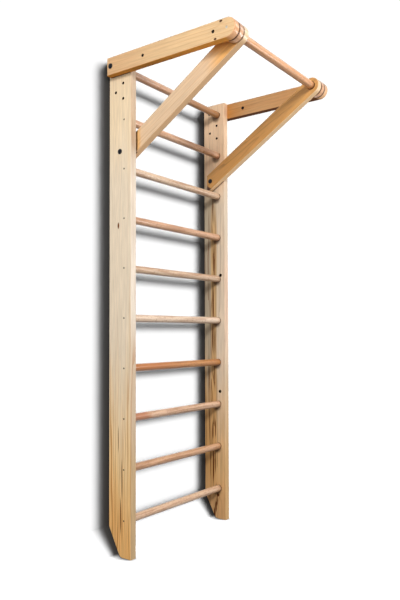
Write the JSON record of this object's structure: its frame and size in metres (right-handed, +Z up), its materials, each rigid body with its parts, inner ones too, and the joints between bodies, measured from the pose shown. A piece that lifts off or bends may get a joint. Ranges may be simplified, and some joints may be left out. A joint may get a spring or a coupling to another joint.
{
  "type": "swedish wall bars",
  "caption": "Wall-fixed wooden ladder of two upright boards and round rungs, with a pull-up bar on two arms and diagonal braces bolted to the top.",
  "frame": {"origin": "on the wall at floor level, midway between the two posts", "axes": "+Z up along the posts, +Y into the wall so that the front faces -Y, +X from the left post to the right post along the rungs"},
  "size_m": [0.8438, 0.697, 2.2],
  "materials": {
    "pine": "clear satin lacquer",
    "beech": "clear satin lacquer",
    "turned_beech": "clear gloss lacquer",
    "black_steel": "black oxide",
    "zinc": "zinc plated"
  },
  "bodies": {
    "root": {"left_post": "pine", "right_post": "pine", "left_arm": "pine", "right_arm": "pine", "left_brace": "pine", "right_brace": "pine", "left_spacer": "turned_beech", "right_spacer": "turned_beech", "pull_up_bar": "beech", "rung_01": "beech", "rung_02": "beech", "rung_03": "beech", "rung_04": "beech", "rung_05": "beech", "rung_06": "beech", "rung_07": "beech", "rung_08": "beech", "rung_09": "beech", "rung_10": "beech", "left_arm_bolt": "black_steel", "right_arm_bolt": "black_steel", "left_arm_nut": "black_steel", "right_arm_nut": "black_steel", "left_brace_bolt": "black_steel", "right_brace_bolt": "black_steel", "left_brace_nut": "black_steel", "right_brace_nut": "black_steel", "left_bar_screw": "zinc", "right_bar_screw": "zinc", "left_rung_screw_01": "zinc", "left_rung_screw_02": "zinc", "left_rung_screw_03": "zinc", "left_rung_screw_04": "zinc", "left_rung_screw_05": "zinc", "left_rung_screw_06": "zinc", "left_rung_screw_07": "zinc", "left_rung_screw_08": "zinc", "left_rung_screw_09": "zinc", "left_rung_screw_10": "zinc", "right_rung_screw_01": "zinc", "right_rung_screw_02": "zinc", "right_rung_screw_03": "zinc", "right_rung_screw_04": "zinc", "right_rung_screw_05": "zinc", "right_rung_screw_06": "zinc", "right_rung_screw_07": "zinc", "right_rung_screw_08": "zinc", "right_rung_screw_09": "zinc", "right_rung_screw_10": "zinc"}
  },
  "joints": []
}
